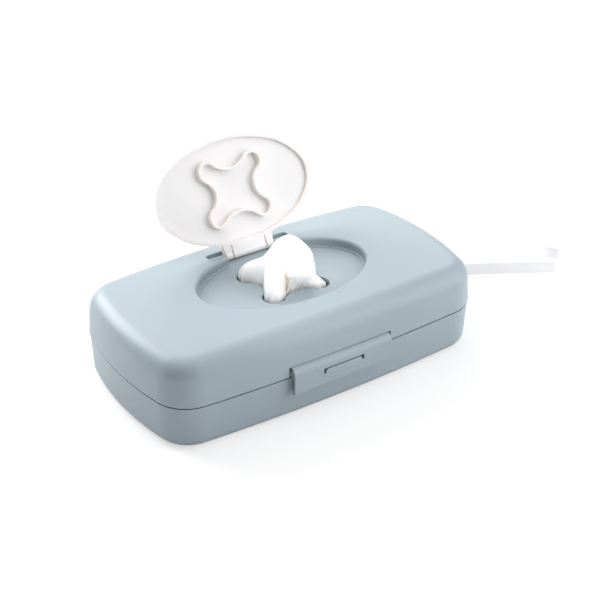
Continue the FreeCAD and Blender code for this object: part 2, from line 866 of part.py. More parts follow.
latch_notch = box(
    "latch_notch",
    (-notch_end, -half_width - size["overrun"], size["seam_height"] - size["overrun"]),
    (notch_end, -notch_back, notch_top),
)
latch_pin_end = notch_end + size["latch_pin_seat"] / 2
latch_pin_hole = rod_along_x(
    "latch_pin_hole",
    size["latch_pin_radius"],
    -latch_pin_end,
    latch_pin_end,
    -latch_axis,
    latch_axis_z,
)

# Rear hinges: a knuckle of the cover between two of the tray, on each side
hinge_y = half_width + size["hinge_offset"]
hinge_z = size["seam_height"]
knuckle_half = size["hinge_knuckle_length"] / 2
ear_start = knuckle_half + size["hinge_side_gap"]
ear_end = ear_start + size["hinge_ear_length"]


def knuckle(name, start, end, above):
    """A round knuckle on a web that runs into the wall, above or below the axis."""
    web = box(
        name + "_web",
        (
            start,
            hinge_y - size["hinge_web_reach"],
            hinge_z + size["seam_gap"] if above else hinge_z - size["hinge_web_height"],
        ),
        (
            end,
            hinge_y,
            hinge_z + size["hinge_web_height"] if above else rim_height - size["seam_gap"],
        ),
    )
    barrel = rod_along_x(name, size["hinge_knuckle_radius"], start, end, hinge_y, hinge_z)
    rounded = doc.addObject("Part::Common", name + "_rounded_web")
    rounded.Base = web
    rounded.Tool = rod_along_x(
        name + "_reach",
        size["hinge_web_reach"] + size["seam_gap"],
        start,
        end,
        hinge_y,
        hinge_z,
    )
    return [barrel, rounded]


cover_knuckles = []
tray_knuckles = []
hinge_pin_holes = []
hinge_running_holes = []
hinge_pins = []
for side, word in ((-1, "left"), (1, "right")):
    middle = side * size["hinge_place"]
    cover_knuckles += knuckle(
        f"cover_knuckle_{word}", middle - knuckle_half, middle + knuckle_half, True
    )
    tray_knuckles += knuckle(
        f"tray_knuckle_{word}_outer", middle + ear_start, middle + ear_end, False
    )
    tray_knuckles += knuckle(
        f"tray_knuckle_{word}_inner", middle - ear_end, middle - ear_start, False
    )
    hinge_pins.append(
        rod_along_x(
            f"hinge_pin_{word}",
            size["hinge_pin_radius"],
            middle - ear_end,
            middle + ear_end,
            hinge_y,
            hinge_z,
        )
    )
    hinge_pin_holes.append(
        rod_along_x(
            f"hinge_pin_hole_{word}",
            size["hinge_pin_radius"],
            middle - ear_end,
            middle + ear_end,
            hinge_y,
            hinge_z,
        )
    )
    hinge_running_holes.append(
        rod_along_x(
            f"hinge_running_hole_{word}",
            size["hinge_pin_radius"] + size["running_clearance"],
            middle - knuckle_half,
            middle + knuckle_half,
            hinge_y,
            hinge_z,
        )
    )

top_shell = cut(
    "top_shell",
    fuse("cover_block", [cover_outside] + cover_knuckles),
    fuse(
        "cover_tools",
        [cover_core, slot, hinge_pocket, passage, rod_seat_hole, latch_notch, latch_pin_hole]
        + hinge_running_holes,
    ),
)

# Tray: the outside, the lip that enters the cover, the catch, the strap's lugs and the rear ears
tray_outside = tray_form(
    "tray_outside", size["seam_step"], rim_height, size["bottom_edge_radius"]
)
lip = outline_prism("lip", lip_inset, rim_height, size["lip_height"])
catch_end = size["window_half_length"] - size["catch_end_gap"]
tray_face = half_width - size["seam_step"]
catch = box(
    "catch",
    (-catch_end, -tray_face - size["catch_reach"], catch_bottom),
    (catch_end, -tray_face + size["wall"] / 2, catch_bottom + size["catch_height"]),
)
strap_x = half_length + size["strap_axis_reach"]
strap_bottom = strap_middle - size["strap_width"] / 2
strap_top = strap_middle + size["strap_width"] / 2


def strap_lug(name, bottom):
    plate = box(
        name + "_plate",
        (half_length - size["lug_root"], size["strap_axis_y"] - size["lug_half_width"], bottom),
        (strap_x, size["strap_axis_y"] + size["lug_half_width"], bottom + size["lug_thickness"]),
    )
    nose = rod(
        name + "_nose",
        size["lug_half_width"],
        size["lug_thickness"],
        strap_x,
        size["strap_axis_y"],
        bottom,
    )
    return [plate, nose]


lower_lug_bottom = strap_bottom - size["strap_gap"] - size["lug_thickness"]
upper_lug_bottom = strap_top + size["strap_gap"]
lugs = strap_lug("lower_lug", lower_lug_bottom) + strap_lug("upper_lug", upper_lug_bottom)
strap_pin_hole = rod(
    "strap_pin_hole",
    size["strap_pin_radius"],
    upper_lug_bottom + size["lug_thickness"] - lower_lug_bottom,
    strap_x,
    size["strap_axis_y"],
    lower_lug_bottom,
)
tray_inset = size["seam_step"] + size["wall"]
tray_hollow = tray_form(
    "tray_hollow",
    tray_inset,
    rim_height - size["floor_thickness"],
    size["bottom_edge_radius"] - size["wall"],
)
lip_hollow = outline_prism(
    "lip_hollow", tray_inset, rim_height, size["lip_height"] + size["overrun"]
)
lip_break_end = notch_end + size["notch_wall"] + size["lip_clearance"]
lip_break = box(
    "lip_break",
    (-lip_break_end, -half_width, rim_height),
    (lip_break_end, -half_width / 2, rim_height + size["lip_height"] + size["overrun"]),
)
bottom_shell = cut(
    "bottom_shell",
    fuse("tray_block", [tray_outside, lip, catch] + lugs + tray_knuckles),
    fuse("tray_tools", [tray_hollow, lip_hollow, lip_break, strap_pin_hole] + hinge_pin_holes),
)

# Pins
lid_hinge_rod = rod_along_x(
    "lid_hinge_rod",
    size["rod_radius"],
    -rod_end,
    rod_end,
    lid_hinge_y,
    lid_hinge_z,
)
latch_pin = rod_along_x(
    "latch_pin",
    size["latch_pin_radius"],
    -latch_pin_end,
    latch_pin_end,
    -latch_axis,
    latch_axis_z,
)
rear_hinge_pins = doc.addObject("Part::Compound", "rear_hinge_pins")
rear_hinge_pins.Links = hinge_pins
strap_pin = rod(
    "strap_pin",
    size["strap_pin_radius"],
    upper_lug_bottom + size["lug_thickness"] - lower_lug_bottom,
    strap_x,
    size["strap_axis_y"],
    lower_lug_bottom,
)

# Lid: drawn shut, with its hinge axis on the X axis, then turned open
lid_middle = -lid_hinge_y
plate_bottom = -size["lid_sink"]
flip_lid = new_body("flip_lid")
plate_sketch = new_sketch(flip_lid, "lid_outline", plate_bottom - size["lid_lip_height"])
oval_outline(plate_sketch, size["lid_length"], size["lid_width"], zero, lid_middle)
pad(flip_lid, plate_sketch, size["lid_thickness"] + size["lid_lip_height"], "lid_block")
underside_sketch = new_sketch(
    flip_lid, "underside_outline", plate_bottom - size["lid_lip_height"] - size["overrun"]
)
oval_outline(
    underside_sketch, size["lid_length"], size["lid_width"], size["lid_lip_width"], lid_middle
)
pocket(
    flip_lid,
    underside_sketch,
    size["lid_lip_height"] + size["overrun"],
    "underside",
    up=True,
)
plate_top = (plate_bottom + size["lid_thickness"]).number
fillet(
    flip_lid,
    "lid_edge",
    size["lid_edge_radius"],
    lambda edge: abs(edge.BoundBox.ZMin - plate_top) < SAME_PLACE,
)
tongue_sketch = new_sketch(
    flip_lid, "tongue_outline", plate_bottom - size["lid_lip_height"]
)
tongue_wide = size["tongue_half_length"] + size["tongue_flare"]
polygon(
    tongue_sketch,
    [
        (-tongue_wide, -tongue_root),
        (tongue_wide, -tongue_root),
        (size["tongue_half_length"], zero),
        (-size["tongue_half_length"], zero),
    ],
)
pad(flip_lid, tongue_sketch, size["lid_thickness"] + size["lid_lip_height"], "tongue")
barrel_sketch = new_sketch(
    flip_lid, "barrel_outline", -size["tongue_half_length"], "YZ_Plane"
)
circle(barrel_sketch, zero, zero, size["barrel_radius"])
pad(flip_lid, barrel_sketch, 2 * size["tongue_half_length"], "barrel")
bore_sketch = new_sketch(
    flip_lid, "bore_outline", -size["tongue_half_length"] - size["overrun"], "YZ_Plane"
)
circle(bore_sketch, zero, zero, size["rod_radius"] + size["running_clearance"])
pocket(
    flip_lid,
    bore_sketch,
    2 * (size["tongue_half_length"] + size["overrun"]),
    "bore",
    up=True,
)
slit_sketch = new_sketch(
    flip_lid, "tongue_slits_outline", size["barrel_radius"] + size["overrun"]
)
for side in (-1, 1):
    slit_middle = side * size["tongue_slit_place"]
    slit_half = size["tongue_slit_width"] / 2
    slit_front = -tongue_root + size["lid_lip_width"]
    polygon(
        slit_sketch,
        [
            (slit_middle - slit_half, slit_front),
            (slit_middle + slit_half, slit_front),
            (slit_middle + slit_half, size["barrel_radius"] + size["overrun"]),
            (slit_middle - slit_half, size["barrel_radius"] + size["overrun"]),
        ],
    )
pocket(
    flip_lid,
    slit_sketch,
    2 * (size["barrel_radius"] + size["overrun"]),
    "tongue_slits",
)

slot_seal = new_body("slot_seal")
seal_sketch = new_sketch(slot_seal, "seal_outline", plate_bottom)
star_outline(seal_sketch, size["seal_gap"], lid_middle)
pad(slot_seal, seal_sketch, size["seal_height"], "seal_block", down=True)
seal_hollow_sketch = new_sketch(slot_seal, "seal_hollow_outline", plate_bottom)
star_outline(seal_hollow_sketch, size["seal_gap"] + size["seal_wall"], lid_middle)
pocket(slot_seal, seal_hollow_sketch, size["seal_height"] + size["overrun"], "seal_hollow")
for lid_piece in (flip_lid, slot_seal):
    place(
        lid_piece,
        zero,
        lid_hinge_y,
        lid_hinge_z,
        (1, 0, 0),
        -size["lid_open_angle"],
    )

# Latch: a plate with a window, the upper half of a roll on top, and a knuckle under the roll
front_latch = new_body("front_latch")
knuckle_y = -latch_axis
face_y = -latch_face
top_centre_y = face_y + size["latch_top_radius"]
latch_long = 2 * size["latch_half_length"]


def latch_sketch(name):
    return new_sketch(front_latch, name, -size["latch_half_length"], "YZ_Plane")


top_profile = latch_sketch("latch_top_profile")
circle(top_profile, top_centre_y, latch_axis_z, size["latch_top_radius"])
pad(front_latch, top_profile, latch_long, "latch_top")
underside_profile = latch_sketch("latch_underside_profile")
underside_low = latch_axis_z - size["latch_top_radius"] - size["overrun"]
underside_back = top_centre_y + size["latch_top_radius"] + size["overrun"]
polygon(
    underside_profile,
    [
        (face_y - size["overrun"], underside_low),
        (underside_back, underside_low),
        (underside_back, latch_axis_z),
        (face_y - size["overrun"], latch_axis_z),
    ],
)
pocket(front_latch, underside_profile, latch_long, "latch_underside", up=True)
plate_profile = latch_sketch("latch_plate_profile")
polygon(
    plate_profile,
    [
        (face_y, latch_bottom),
        (face_y + size["latch_plate"], latch_bottom),
        (face_y + size["latch_plate"], latch_axis_z - size["latch_knuckle_radius"]),
        (knuckle_y, latch_axis_z - size["latch_knuckle_radius"]),
        (knuckle_y, latch_axis_z),
        (face_y, latch_axis_z),
    ],
)
pad(front_latch, plate_profile, latch_long, "latch_plate")
knuckle_profile = latch_sketch("latch_knuckle_profile")
circle(knuckle_profile, knuckle_y, latch_axis_z, size["latch_knuckle_radius"])
pad(front_latch, knuckle_profile, latch_long, "latch_knuckle")
pin_profile = latch_sketch("latch_bore_profile")
circle(pin_profile, knuckle_y, latch_axis_z, size["latch_pin_radius"] + size["running_clearance"])
pocket(front_latch, pin_profile, latch_long, "latch_bore", up=True)
window_sketch = new_sketch(
    front_latch, "window_outline", latch_face + size["overrun"], "XZ_Plane"
)
polygon(
    window_sketch,
    [
        (-size["window_half_length"], window_bottom),
        (size["window_half_length"], window_bottom),
        (size["window_half_length"], window_top),
        (-size["window_half_length"], window_top),
    ],
)
pocket(
    front_latch,
    window_sketch,
    size["latch_plate"] + size["overrun"],
    "window",
)
latch_low = latch_bottom.number + SAME_PLACE
latch_front = face_y.number + SAME_PLACE
fillet(
    front_latch,
    "latch_grip",
    size["latch_grip_radius"],
    lambda edge: edge.BoundBox.ZMax < latch_low and edge.BoundBox.YMax < latch_front,
)

# Strap: a flat band on edge, from an eye round its pin to a wide loop
carry_strap = new_body("carry_strap")


def strap_loop(sketch, small_x, small_radius, large_x, large_radius):
    """A drop-shaped outline round two circles on the X axis."""
    small_x, large_x = sized(small_x), sized(large_x)
    small, large = sized(small_radius).number, sized(large_radius).number
    apart = (large_x - small_x).number
    lean = math.acos((small - large) / apart)
    away = (math.cos(lean), math.sin(lean))

    def at(x, radius, side):
        return FreeCAD.Vector(x.number + radius * away[0], side * radius * away[1], 0)

    up = FreeCAD.Vector(0, 0, 1)
    small_circle = Part.Circle(FreeCAD.Vector(small_x.number, 0, 0), up, small)
    large_circle = Part.Circle(FreeCAD.Vector(large_x.number, 0, 0), up, large)
    first = sketch.GeometryCount
    sketch.addGeometry(Part.ArcOfCircle(small_circle, lean, 2 * math.pi - lean), False)
    sketch.addGeometry(
        Part.LineSegment(at(small_x, small, -1), at(large_x, large, -1)), False
    )
    sketch.addGeometry(Part.ArcOfCircle(large_circle, -lean, lean), False)
    sketch.addGeometry(Part.LineSegment(at(large_x, large, 1), at(small_x, small, 1)), False)
    for i in range(4):
        sketch.addConstraint(
            Sketcher.Constraint("Tangent", first + i, 2, first + (i + 1) % 4, 1)
        )
    hold_point(sketch, first, 3, small_x, zero)
    hold(sketch, "Radius", first, small_radius)
    hold_point(sketch, first + 2, 3, large_x, zero)
    hold(sketch, "Radius", first + 2, large_radius)


strap_sketch = new_sketch(carry_strap, "strap_outline")
strap_loop(
    strap_sketch, zero, size["strap_eye_radius"], size["strap_length"], size["strap_end_radius"]
)
pad(carry_strap, strap_sketch, size["strap_width"], "strap_band")
strap_hole_sketch = new_sketch(
    carry_strap, "strap_inside_outline", size["strap_width"] + size["overrun"]
)
strap_loop(
    strap_hole_sketch,
    size["strap_fork"],
    size["strap_fork_radius"],
    size["strap_length"],
    size["strap_end_radius"] - size["strap_thickness"],
)
pocket(
    carry_strap, strap_hole_sketch, size["strap_width"] + 2 * size["overrun"], "strap_inside"
)
eye_sketch = new_sketch(carry_strap, "strap_eye_outline", size["strap_width"] + size["overrun"])
circle(eye_sketch, zero, zero, size["strap_pin_radius"] + size["running_clearance"])
pocket(carry_strap, eye_sketch, size["strap_width"] + 2 * size["overrun"], "strap_eye")
place(
    carry_strap, strap_x, size["strap_axis_y"], strap_bottom, (0, 0, 1), size["strap_turn_angle"]
)

# Folded wipes: a soft stack with round corners
wipe_stack = new_body("wipe_stack")
stack_sketch = new_sketch(wipe_stack, "stack_outline", stack_bottom)
half_stack_x = half_length - size["stack_end_room"]
half_stack_y = half_width - size["stack_side_room"]
polygon(
    stack_sketch,
    [
        (-half_stack_x, -half_stack_y),
        (half_stack_x, -half_stack_y),
        (half_stack_x, half_stack_y),
        (-half_stack_x, half_stack_y),
    ],
)
pad(wipe_stack, stack_sketch, stack_top - stack_bottom, "stack_block")
fillet(
    wipe_stack,
    "stack_corners",
    size["stack_corner"],
    lambda edge: upright(edge, stack_top - stack_bottom),
)
fillet(
    wipe_stack,
    "stack_top_edge",
    size["stack_edge"],
    lambda edge: abs(edge.BoundBox.ZMin - stack_top.number) < SAME_PLACE,
)

# Pulled-up wipe: a tuft with four folds that pass through the slot's lobes and meet at a tip.
# Each level above the well's floor has a height as a share of the tuft's rise, the places of its
# middle as shares of the slot's lobe places, how far each fold reaches as a share of its lobe's,
# and the fold's radius as a share of the lobe's. Below that it fills the slot down to the stack.
LOBE_SIGNS = [(1, -1), (1, 1), (-1, 1), (-1, -1)]
tuft_foot_shares = ((0.0, 0.0), (0.80, 0.80, 0.80, 0.80), 0.80)
tuft_slot_shares = ((0.0, 0.0), (1.0, 1.0, 1.0, 1.0), 1.0)
tuft_level_shares = [
    (0.14, (0.02, 0.0), (0.90, 0.84, 0.92, 0.90), 0.90),
    (0.34, (0.04, 0.0), (0.66, 0.56, 0.58, 0.70), 0.84),
    (0.60, (0.08, 0.0), (0.50, 0.40, 0.38, 0.50), 0.74),
    (0.84, (0.12, 0.0), (0.36, 0.26, 0.24, 0.34), 0.56),
    (1.00, (0.14, 0.0), (0.18, 0.14, 0.12, 0.16), 0.30),
]
FOLD_SHOULDER_SHARE = 0.7
WAIST_SHARE = 0.55


def tuft_section(height, middle_shares, reach_shares, fold_share):
    """One level of the tuft: four round folds with a hollow between each pair."""
    across, along = size["lobe_across"].number, size["lobe_along"].number
    fold = (size["lobe_radius"] - size["tuft_slot_gap"]).number * fold_share
    middle = FreeCAD.Vector(middle_shares[0] * across, middle_shares[1] * along, height)
    shoulders = []
    tips = []
    for (x_sign, y_sign), reach in zip(LOBE_SIGNS, reach_shares):
        lobe = FreeCAD.Vector(x_sign * across * reach, y_sign * along * reach, 0)
        out = FreeCAD.Vector(lobe)
        out.normalize()
        aside = FreeCAD.Vector(-out.y, out.x, 0)
        tips.append(middle + lobe + out * fold)
        shoulders.append(
            [
                middle + lobe + (out + aside * side) * fold * FOLD_SHOULDER_SHARE
                for side in (-1, 1)
            ]
        )
    edges = []
    for i in range(4):
        start, end = shoulders[i]
        following = shoulders[(i + 1) % 4][0]
        waist = middle + ((end + following) * 0.5 - middle) * WAIST_SHARE
        edges.append(Part.Arc(start, tips[i], end).toShape())
        edges.append(Part.Arc(end, waist, following).toShape())
    return Part.Wire(edges)


tuft_rise = size["tuft_rise"].number
sections = [
    tuft_section((stack_top + size["tuft_start_gap"]).number, *tuft_foot_shares),
    tuft_section(cup_bottom.number, *tuft_slot_shares),
    tuft_section(well_floor.number, *tuft_slot_shares),
]
for height_share, *shares in tuft_level_shares:
    sections.append(tuft_section(well_floor.number + height_share * tuft_rise, *shares))
popped_wipe = doc.addObject("Part::Feature", "popped_wipe")
popped_wipe.Shape = Part.makeLoft(sections, True, False)
popped_wipe.Label = "popped_wipe"

doc.recompute()

NODES = {
    "bottom_shell": bottom_shell,
    "top_shell": top_shell,
    "flip_lid": flip_lid,
    "slot_seal": slot_seal,
    "front_latch": front_latch,
    "carry_strap": carry_strap,
    "lid_hinge_rod": lid_hinge_rod,
    "latch_pin": latch_pin,
    "rear_hinge_pins": rear_hinge_pins,
    "strap_pin": strap_pin,
    "wipe_stack": wipe_stack,
    "popped_wipe": popped_wipe,
}

for thing in doc.Objects:
    if {"Invalid", "Error"} & set(thing.State):
        raise RuntimeError(f"{thing.Label} failed: {thing.State}")
os.makedirs("parts", exist_ok=True)
for name, piece in NODES.items():
    piece.Label = name
    shape = piece.Shape
    if shape.isNull() or not shape.isValid() or not shape.Solids:
        raise RuntimeError(f"{name} has no valid solid")
for name, piece in NODES.items():
    shape = piece.Shape
    print(name, len(shape.Solids), round(shape.Volume, 1))
    shape.exportStep(os.path.join("parts", name + ".step"))
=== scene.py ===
"""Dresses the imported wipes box: its plastic, its pulled-up wipe, its folded wipes and its strap."""

import math
import random

import bmesh
import bpy
from bpy.props import (
    FloatProperty,
    FloatVectorProperty,
    IntProperty,
    PointerProperty,
)
from mathutils import Matrix, Vector, noise


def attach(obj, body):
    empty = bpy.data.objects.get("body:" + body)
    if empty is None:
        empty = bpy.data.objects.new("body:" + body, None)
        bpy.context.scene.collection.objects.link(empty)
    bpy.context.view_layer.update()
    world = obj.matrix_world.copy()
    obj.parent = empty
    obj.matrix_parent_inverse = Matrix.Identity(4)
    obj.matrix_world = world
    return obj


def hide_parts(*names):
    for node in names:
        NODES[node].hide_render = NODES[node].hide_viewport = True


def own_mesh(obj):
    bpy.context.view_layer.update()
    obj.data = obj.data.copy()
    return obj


bl_info = {
    "name": "Wipes Box",
    "version": (1, 0, 0),
    "blender": (4, 5, 0),
    "location": "View3D > Sidebar > Wipes Box",
    "description": "Builds a portable wipes box around its packed solids",
    "category": "Add Mesh",
}

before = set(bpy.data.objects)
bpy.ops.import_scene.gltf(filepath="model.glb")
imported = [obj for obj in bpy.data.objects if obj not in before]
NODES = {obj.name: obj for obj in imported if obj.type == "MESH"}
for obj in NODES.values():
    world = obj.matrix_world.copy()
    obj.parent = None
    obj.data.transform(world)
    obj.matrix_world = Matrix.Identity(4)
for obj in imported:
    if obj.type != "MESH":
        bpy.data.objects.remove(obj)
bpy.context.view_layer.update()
MM = 0.001

# The lid stands open about the X axis, so its underside looks to the front and up.
LID_OPEN = math.radians(115.8)
LID_UNDERSIDE = Vector((0, -math.sin(LID_OPEN), -math.cos(LID_OPEN)))


# Sizes and colours that a user would change


class CaseFinish(bpy.types.PropertyGroup):
    colour: FloatVectorProperty(
        name="Case colour",
        description="Colour of the cover, the tray and the latch",
        subtype="COLOR",
        size=4,
        min=0,
        max=1,
        default=(0.278, 0.335, 0.371, 1),
    )
    roughness: FloatProperty(
        name="Case roughness",
        description="Roughness of the moulded plastic",
        default=0.42,
        min=0,
        max=1,
        subtype="FACTOR",
    )


class LidFinish(bpy.types.PropertyGroup):
    colour: FloatVectorProperty(
        name="Lid colour",
        description="Colour of the lid and its seal",
        subtype="COLOR",
        size=4,
        min=0,
        max=1,
        default=(0.65, 0.64, 0.645, 1),
    )
    # Painted warm light on the rib's walls, which stand sideways to the lamps; the lid's flat
    # underside keeps the plain lid colour.
    painted_wall_light: FloatVectorProperty(
        name="Wall colour",
        description="Warm colour that shows on the walls of the lid's rib",
        subtype="COLOR",
        size=4,
        min=0,
        max=1,
        default=(0.97, 0.87, 0.79, 1),
    )


class WipeShape(bpy.types.PropertyGroup):
    colour: FloatVectorProperty(
        name="Wipe colour",
        description="Colour of the wipes",
        subtype="COLOR",
        size=4,
        min=0,
        max=1,
        default=(0.95, 0.95, 0.945, 1),
    )
    pleat_depth: FloatProperty(
        name="Pleat depth",
        description="Depth of the fine pleats above the slot",
        default=0.5 * MM,
        min=0,
        max=0.003,
        unit="LENGTH",
    )


class StackShape(bpy.types.PropertyGroup):
    layers: IntProperty(
        name="Folded wipes",
        description="How many folded wipes lie in the tray",
        default=18,
        min=2,
        max=60,
    )


class StrapFinish(bpy.types.PropertyGroup):
    colour: FloatVectorProperty(
        name="Strap colour",
        description="Colour of the wrist strap",
        subtype="COLOR",
        size=4,
        min=0,
        max=1,
        default=(0.91, 0.91, 0.935, 1),
    )


class StageLook(bpy.types.PropertyGroup):
    spots: FloatVectorProperty(
        name="Spot powers",
        description="Power of the narrow spots on the pulled-up wipe and on the lid",
        size=2,
        min=0,
        max=200,
        default=(10.8, 6.5),
    )
    sky: FloatProperty(
        name="Sky strength",
        description="Strength of the plain light from all round",
        default=0.04,
        min=0,
        max=4,
    )
    powers: FloatVectorProperty(
        name="Lamp powers",
        description="Power of each soft lamp, in the order of the list of lamps",
        size=6,
        min=0,
        max=500,
        default=(5.6, 21.5, 10.6, 0.3, 14.5, 0.0),
    )


# Shader sums


class Value:
    """A shader socket that takes part in sums as a number does."""

    def __init__(self, tree, socket):
        self.tree = tree
        self.socket = socket

    def __add__(self, other):
        return arithmetic(self.tree, "ADD", self, other)

    def __mul__(self, other):
        return arithmetic(self.tree, "MULTIPLY", self, other)

    def __abs__(self):
        return arithmetic(self.tree, "ABSOLUTE", self)

    __radd__ = __add__
    __rmul__ = __mul__


def feed(tree, socket, value):
    if isinstance(value, Value):
        tree.links.new(value.socket, socket)
    else:
        socket.default_value = value


def arithmetic(tree, operation, *values):
    node = tree.nodes.new("ShaderNodeMath")
    node.operation = operation
    for socket, value in zip(node.inputs, values):
        feed(tree, socket, value)
    return Value(tree, node.outputs[0])


class Finish:
    """A material with one main shader, and the calls that add nodes to it."""

    def __init__(self, name):
        self.material = bpy.data.materials.new(name)
        self.material.use_nodes = True
        self.tree = self.material.node_tree
        self.shader = self.tree.nodes["Principled BSDF"]

    def node(self, kind, settings, inputs, output=0):
        """Adds a node, sets it up, feeds its sockets, and gives one of its outputs."""
        made = self.tree.nodes.new("ShaderNode" + kind)
        for name, value in settings.items():
            setattr(made, name, value)
        for name, value in inputs.items():
            feed(self.tree, made.inputs[name], value)
        return Value(self.tree, made.outputs[output])

    def set(self, **sockets):
        for name, value in sockets.items():
            feed(self.tree, self.shader.inputs[name.replace("_", " ")], value)

    def place(self):
        return self.node("TexCoord", {}, {}, "Object")

    def noise(self, place, scale, detail=2.0):
        return self.node(
            "TexNoise", {}, {"Vector": place, "Scale": scale, "Detail": detail}, "Fac"
        )

    def mix(self, factor, first, second):
        """A colour between two others."""
        return self.node(
            "Mix",
            {"data_type": "RGBA"},
            {0: factor, 6: first, 7: second},
            2,
        )

    def ramp(self, value, low, high):
        """Runs from 0 to 1 while the value runs from low to high."""
        return self.node(
            "MapRange", {}, {"Value": value, "From Min": low, "From Max": high}, "Result"
        )

    def bump(self, height, distance, strength=1.0):
        self.set(
            Normal=self.node(
                "Bump", {}, {"Height": height, "Distance": distance, "Strength": strength}
            )
        )


def shaded(colour, share):
    """A colour made darker, or lighter with a share above 1."""
    return (*(min(1, c * share) for c in colour[:3]), 1)


def moulded_plastic(name, colour, roughness):
    """Satin moulded plastic: a fine spark-eroded grain, and a trace of flow in its colour."""
    finish = Finish(name)
    place = finish.place()
    flow = finish.noise(place, 22.0)
    grain = finish.noise(place, 2600.0, 3.0)
    finish.set(
        Base_Color=finish.mix(flow, shaded(colour, 0.975), shaded(colour, 1.02)),
        Roughness=roughness - 0.04 + flow * 0.05 + grain * 0.05,
        Specular_IOR_Level=0.45,
    )
    finish.bump(grain, 0.05 * MM, 0.35)
    return finish.material


def lid_plastic(name, colour, painted_wall_light):
    """White plastic, with painted warm light on the faces that stand up from the lid's underside,
    chosen by which way each face points.
    """
    finish = Finish(name)
    place = finish.place()
    flow = finish.noise(place, 30.0)
    facing = finish.node(
        "VectorMath",
        {"operation": "DOT_PRODUCT"},
        {0: finish.node("TexCoord", {}, {}, "Normal"), 1: LID_UNDERSIDE},
        "Value",
    )
    # Painted light: faces that turn away from the lid's underside take the warm wall colour, which
    # lifts and warms the rib's shaded walls.
    wall = finish.ramp(abs(facing), 0.92, 0.15)
    finish.set(
        Base_Color=finish.mix(
            wall, finish.mix(flow, shaded(colour, 0.99), colour), painted_wall_light
        ),
        Roughness=0.30 + flow * 0.06,
        Subsurface_Weight=0.35,
        Subsurface_Radius=(1, 1, 1),
        Subsurface_Scale=0.003,
    )
    finish.bump(finish.noise(place, 1800.0), 0.03 * MM, 0.2)
    return finish.material


def steel(name):
    """Drawn wire, with its fine lines along X."""
    finish = Finish(name)
    drawn = finish.node(
        "Mapping", {}, {"Vector": finish.place(), "Scale": (60, 2400, 2400)}
    )
    lines = finish.noise(drawn, 1.0)
    finish.set(
        Base_Color=finish.mix(lines, (0.50, 0.51, 0.53, 1), (0.64, 0.65, 0.67, 1)),
        Metallic=1.0,
        Roughness=0.26 + lines * 0.14,
    )
    return finish.material


# Heights between which the wipe's pleats fade out, in millimetres.
PLEATS_FULL = 48.0
PLEATS_END = 60.0


def soft_cloth(name, colour, crease_shade_colour, pleats=0.0):
    """Non-woven cloth: pressed dots, short fibres, upright pleats, painted shade in the pleats'
    hollows and painted warm shade in creases.
    """
    finish = Finish(name)
    place = finish.place()
    dots = finish.node(
        "TexVoronoi", {"feature": "F1"}, {"Vector": place, "Scale": 850.0}, "Distance"
    )
    fibres = finish.noise(
        finish.node("Mapping", {}, {"Vector": place, "Scale": (1400, 1400, 500)}), 1.0, 4.0
    )
    streaks = finish.noise(
        finish.node("Mapping", {}, {"Vector": place, "Scale": (420, 420, 30)}), 1.0, 1.0
    )
    rise = finish.node("SeparateXYZ", {}, {"Vector": place}, "Z")
    low = finish.ramp(rise, PLEATS_END * MM, PLEATS_FULL * MM)
    # Painted warm shade: the crease attribute draws the cloth towards the crease colour where it
    # folds in.
    crease = finish.node("Attribute", {"attribute_name": "crease"}, {}, "Fac")
    plain = finish.mix(fibres, shaded(colour, 0.98), colour)
    if pleats:
        # Painted shade: the pleats' hollows turn darker, most of all low down.
        pleat_shade = finish.ramp(streaks, 0.52, 0.36) * (0.15 + 0.65 * low)
        plain = finish.mix(pleat_shade, plain, shaded(colour, 0.86))
    finish.set(
        Base_Color=finish.mix(crease, plain, crease_shade_colour),
        Roughness=0.86 + fibres * 0.1,
        Subsurface_Weight=1.0,
        Subsurface_Radius=(1, 1, 1),
        Subsurface_Scale=0.016,
    )
    relief = (dots * 0.6 + fibres * 0.4) * 0.12 * MM + streaks * (0.25 + 0.75 * low) * pleats
    finish.bump(relief, 1.0, 0.6)
    return finish.material


def strap_rubber(name, colour):
    """Clear soft rubber, milky inside."""
    finish = Finish(name)
    haze = finish.noise(finish.place(), 120.0)
    finish.set(
        Base_Color=finish.mix(haze, shaded(colour, 0.97), colour),
        Roughness=0.34 + haze * 0.1,
        Transmission_Weight=0.25,
        IOR=1.42,
        Subsurface_Weight=0.5,
        Subsurface_Radius=(1, 1, 1),
        Subsurface_Scale=0.003,
    )
    finish.bump(finish.noise(finish.place(), 1500.0), 0.03 * MM, 0.2)
    return finish.material


def bright_floor(name, share):
    """A plain white floor that the camera sees nearly white, and that keeps its shadow."""
    finish = Finish(name)
    finish.set(Base_Color=(0.86, 0.86, 0.87, 1), Roughness=0.9, Specular_IOR_Level=0.2)
    glow = finish.tree.nodes.new("ShaderNodeEmission")
    glow.inputs["Color"].default_value = (1, 1, 1, 1)
    glow.inputs["Strength"].default_value = 1.0
    blend = finish.tree.nodes.new("ShaderNodeMixShader")
    seen = finish.node("LightPath", {}, {}, "Is Camera Ray")
    feed(finish.tree, blend.inputs["Fac"], seen * share)
    finish.tree.links.new(finish.shader.outputs[0], blend.inputs[1])
    finish.tree.links.new(glow.outputs[0], blend.inputs[2])
    output = finish.tree.nodes["Material Output"]
    finish.tree.links.new(blend.outputs[0], output.inputs["Surface"])
    return finish.material


# Pieces


def dress(node, material):
    """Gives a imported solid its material."""
    mesh = NODES[node].data
    mesh.materials.clear()
    mesh.materials.append(material)


def piece(name, bm, material, body):
    """Makes an object of a finished bmesh, and has it ride on a body."""
    mesh = bpy.data.meshes.new(name)
    bm.to_mesh(mesh)
    bm.free()
    mesh.materials.append(material)
    made = bpy.data.objects.new(name, mesh)
    bpy.context.scene.collection.objects.link(made)
    mesh.shade_smooth()
    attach(made, body)
    return made


